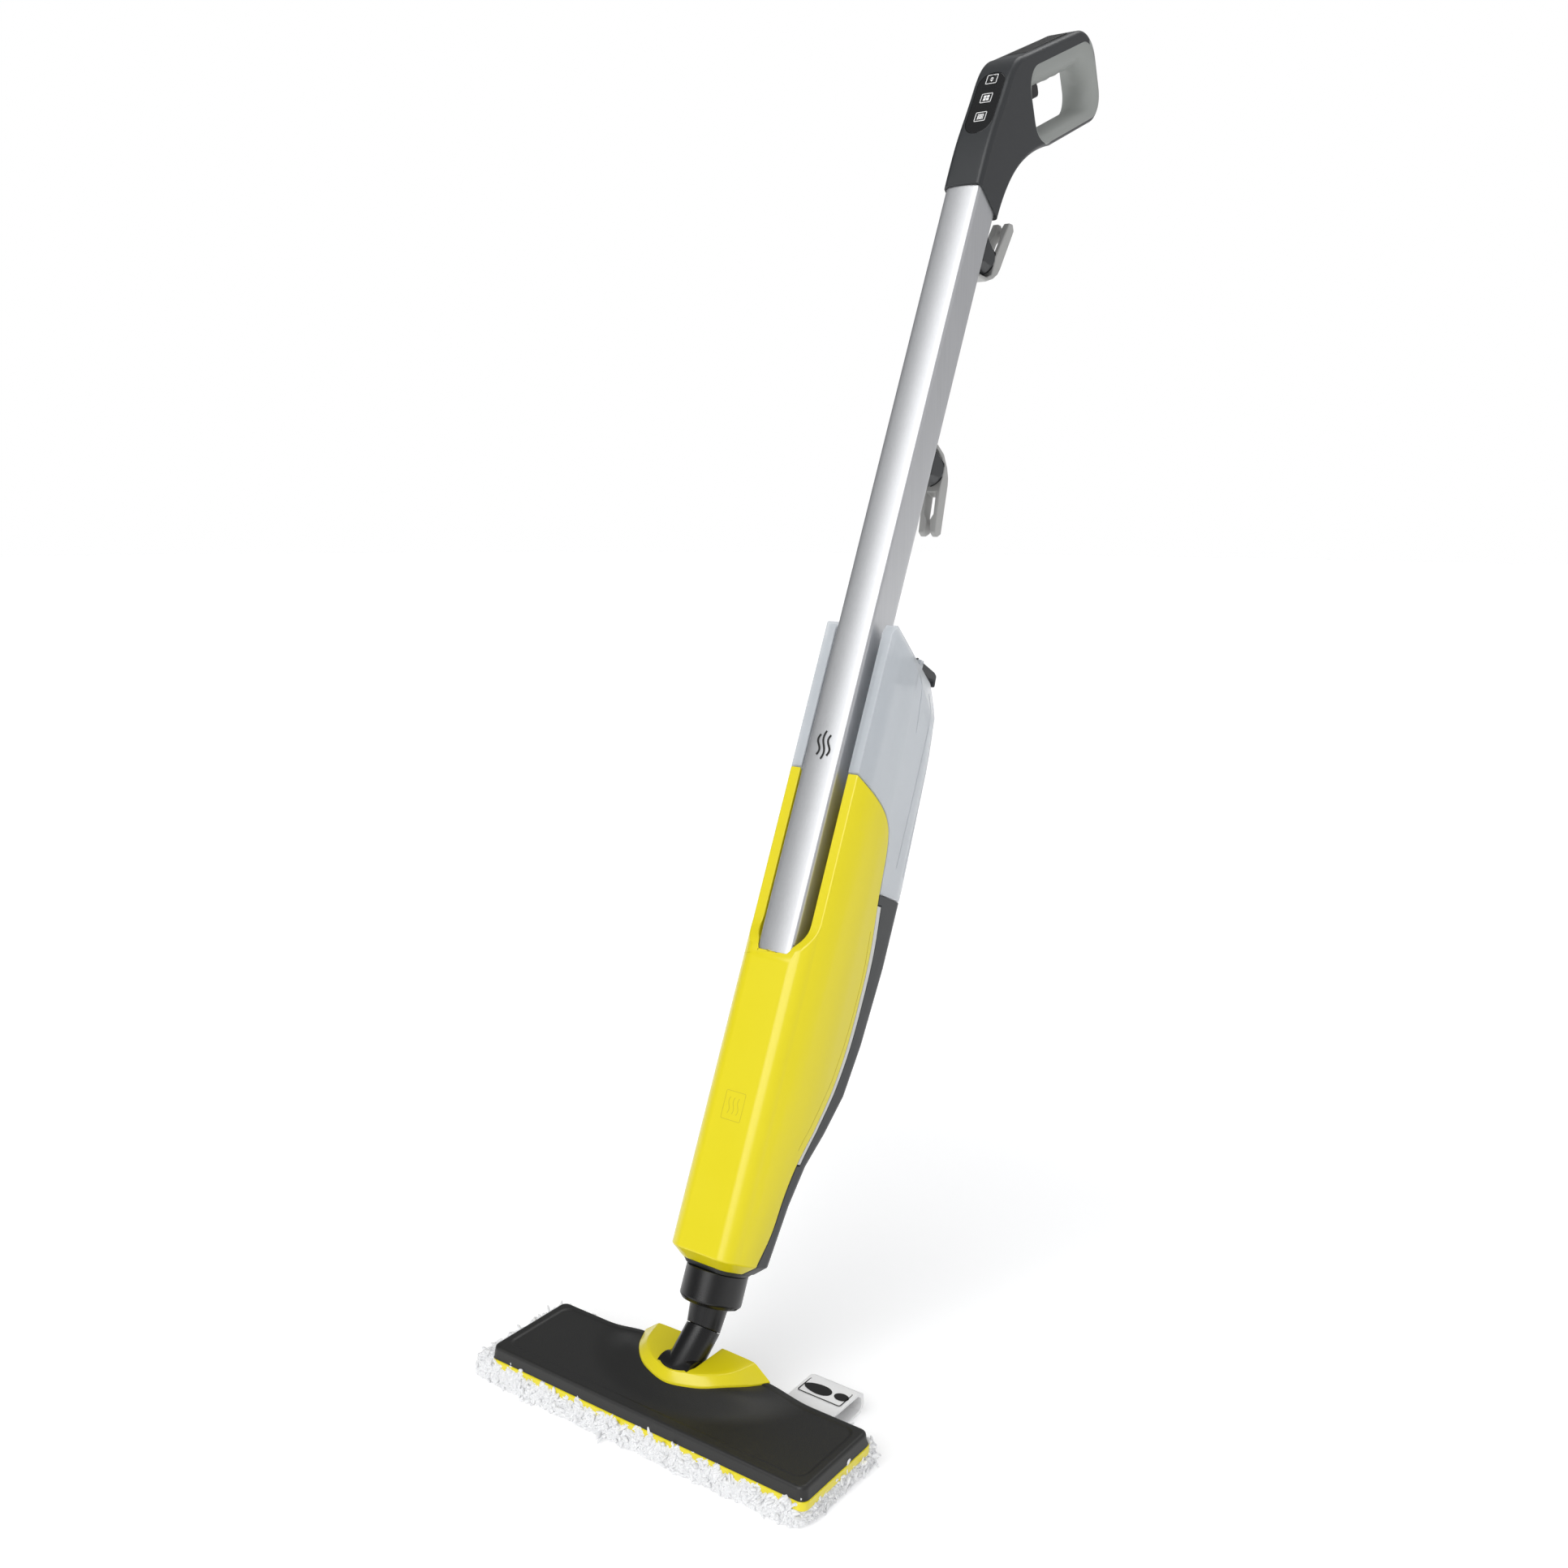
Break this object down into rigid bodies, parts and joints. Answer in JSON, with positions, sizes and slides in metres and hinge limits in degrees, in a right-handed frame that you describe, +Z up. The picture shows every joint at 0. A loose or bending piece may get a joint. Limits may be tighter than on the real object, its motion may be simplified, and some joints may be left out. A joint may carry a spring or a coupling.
{
  "type": "steam mop",
  "caption": "Upright steam mop: hinged floor head with a shaggy cloth, swivel neck, slim body with a lift-off water tank, handle tube, cord hooks and a loop grip with a trigger.",
  "frame": {"origin": "under the middle of the floor head's sole, where the cloth meets the floor", "axes": "+X along the floor head, +Z up, -Y to the front; the body leans back towards +Y"},
  "size_m": [0.314, 0.6295, 1.0444],
  "materials": {
    "yellow_shell": "satin",
    "dark_shell": "satin",
    "black_head": "fine grain",
    "light_trim": "satin",
    "tank_clear": "clear grey",
    "tube_silver": "satin anodised",
    "grip_grey": "satin",
    "grip_black": "fine grain",
    "hook_grey": "satin",
    "lamp_white": "clear",
    "steel": "plain",
    "brass_part": "plain",
    "rubber_black": "plain",
    "hose_clear": "plain",
    "inner_white": "plain",
    "board_green": "plain",
    "boiler_metal": "cast",
    "cloth_white": "shaggy microfibre",
    "sole_grey": "soft"
  },
  "bodies": {
    "mop_body": {"front_shell": "yellow_shell", "rear_shell": "dark_shell", "side_trim_left": "light_trim", "side_trim_right": "light_trim", "body_base": "dark_shell", "cord_gland": "rubber_black", "shell_screws": "steel", "steam_generator": "boiler_metal", "heating_coils": "steel", "thermostat": "inner_white", "water_pump": "inner_white", "descaling_cartridge": "inner_white", "tank_socket": "inner_white", "suction_hose": "hose_clear", "pressure_hose": "hose_clear", "steam_pipe": "brass_part", "control_board": "board_green", "main_tube": "tube_silver", "switch_cable": "rubber_black", "handle_shell": "dark_shell", "handle_underside": "dark_shell", "grip_inlay": "grip_grey", "grip_top_pad": "grip_black", "trigger_pin": "steel", "trigger_spring": "steel", "steam_switch": "inner_white", "display_panel": "grip_black", "mode_lamps": "lamp_white", "hook_boss_upper": "dark_shell", "hook_boss_lower": "dark_shell", "hook_screws": "steel", "coupling_seal": "rubber_black"},
    "coupling": {"coupling_sleeve": "black_head", "neck_upper_elbow": "black_head"},
    "release_button": {"release_button": "dark_shell"},
    "lower_elbow": {"neck_lower_elbow": "black_head", "swivel_ring": "rubber_black"},
    "floor_head": {"nozzle_top_shell": "black_head", "saddle_cover": "yellow_shell", "nozzle_base_plate": "yellow_shell", "lamella_sole": "sole_grey", "grip_strips": "grip_black", "steam_spreader": "inner_white", "head_screws": "steel", "tilt_pin": "steel", "floor_cloth": "cloth_white", "cloth_pile_edge": "cloth_white", "cloth_tab": "cloth_white"},
    "water_tank": {"water_tank": "tank_clear", "tank_valve": "inner_white", "cap_pin": "steel"},
    "tank_cap": {"tank_cap": "dark_shell", "cap_seal": "rubber_black"},
    "trigger": {"trigger": "dark_shell"},
    "mode_button": {"mode_button": "grip_black"},
    "hook_upper": {"hook_upper": "hook_grey"},
    "hook_lower": {"hook_lower": "hook_grey"}
  },
  "joints": [
    {"name": "head_release", "type": "slide", "parent": "mop_body", "child": "coupling", "axis": [0, -0.4029, -0.9152], "range_m": [0, 0.03]},
    {"name": "release_press", "type": "slide", "parent": "coupling", "child": "release_button", "axis": [0, -0.9152, 0.4029], "range_m": [0, 0.0015], "stiffness_N_per_m": 700, "springref_m": -0.0008},
    {"name": "neck_swivel", "type": "hinge", "parent": "coupling", "child": "lower_elbow", "pos_m": [0, 0.03592, 0.05899], "axis": [0, 0.6068, 0.7948], "range_deg": [-90, 90]},
    {"name": "neck_tilt", "type": "hinge", "parent": "lower_elbow", "child": "floor_head", "pos_m": [0, 0.0075, 0.0361], "axis": [1, 0, 0], "range_deg": [-23.76, 40]},
    {"name": "tank_lift", "type": "slide", "parent": "mop_body", "child": "water_tank", "axis": [0, 0.4029, 0.9152], "range_m": [0, 0.055]},
    {"name": "tank_cap_open", "type": "hinge", "parent": "water_tank", "child": "tank_cap", "pos_m": [0, 0.27034, 0.52374], "axis": [1, 0, 0], "range_deg": [0, 100]},
    {"name": "trigger_press", "type": "hinge", "parent": "mop_body", "child": "trigger", "pos_m": [0, 0.4548, 0.98542], "axis": [1, 0, 0], "range_deg": [0, 10], "stiffness_Nm_per_rad": 0.6, "springref_deg": -6.88, "deforming": ["trigger_spring"]},
    {"name": "mode_press", "type": "slide", "parent": "mop_body", "child": "mode_button", "axis": [0, 0.9152, -0.4029], "range_m": [0, 0.0008], "stiffness_N_per_m": 1500, "springref_m": -0.0004},
    {"name": "hook_upper_turn", "type": "hinge", "parent": "mop_body", "child": "hook_upper", "pos_m": [0, 0.41514, 0.83432], "axis": [0, 0.9152, -0.4029], "range_deg": [0, 180]},
    {"name": "hook_lower_turn", "type": "hinge", "parent": "mop_body", "child": "hook_lower", "pos_m": [0, 0.34061, 0.665], "axis": [0, 0.9152, -0.4029], "range_deg": [0, 180]}
  ]
}
